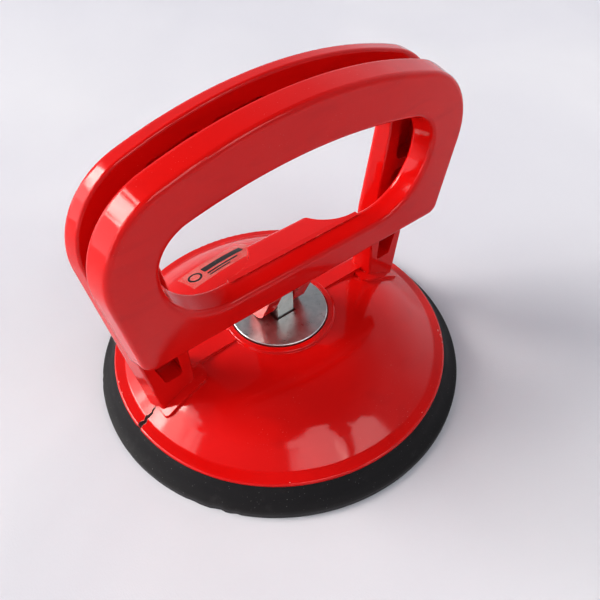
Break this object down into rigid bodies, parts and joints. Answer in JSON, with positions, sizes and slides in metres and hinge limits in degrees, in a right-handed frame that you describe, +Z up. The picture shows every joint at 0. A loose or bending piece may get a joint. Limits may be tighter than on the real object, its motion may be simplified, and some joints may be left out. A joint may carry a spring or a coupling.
{
  "type": "vacuum suction lifter",
  "caption": "Single-cup vacuum suction lifter: a rubber pad under a domed plastic body with a fixed loop handle, and a loop lever that draws the pad's middle up to hold glass or tile.",
  "frame": {"origin": "middle of the rubber pad's sealing face, on the surface that the pad stands on", "axes": "+Z up out of the pad, X along both loop handles, the lever on the -Y side"},
  "size_m": [0.118, 0.118, 0.1011],
  "materials": {
    "red_plastic": "glossy moulded",
    "label_film": "clear film",
    "zinc_steel": "zinc plated",
    "spring_steel": "bright",
    "black_rubber": "matte moulded"
  },
  "bodies": {
    "housing": {"dome_housing": "red_plastic", "clear_label": "label_film", "wear_washer": "zinc_steel", "rubber_pad": "black_rubber"},
    "plunger": {"plunger_bar": "zinc_steel", "backing_plate": "zinc_steel", "return_spring": "spring_steel"},
    "lever": {"lever_handle": "red_plastic", "pivot_pin": "spring_steel"}
  },
  "joints": [
    {"name": "plunger_slide", "type": "slide", "parent": "housing", "child": "plunger", "axis": [0, 0, -1], "range_m": [0, 0.0036], "deforming": ["rubber_pad", "return_spring"]},
    {"name": "lever_pivot", "type": "hinge", "parent": "plunger", "child": "lever", "pos_m": [0, 0, 0.0301], "axis": [1, 0, 0], "range_deg": [0, 60]}
  ],
  "couplings": [
    {"joint": "plunger_slide", "follows": "lever_pivot", "m_per_rad": 0.0034}
  ]
}
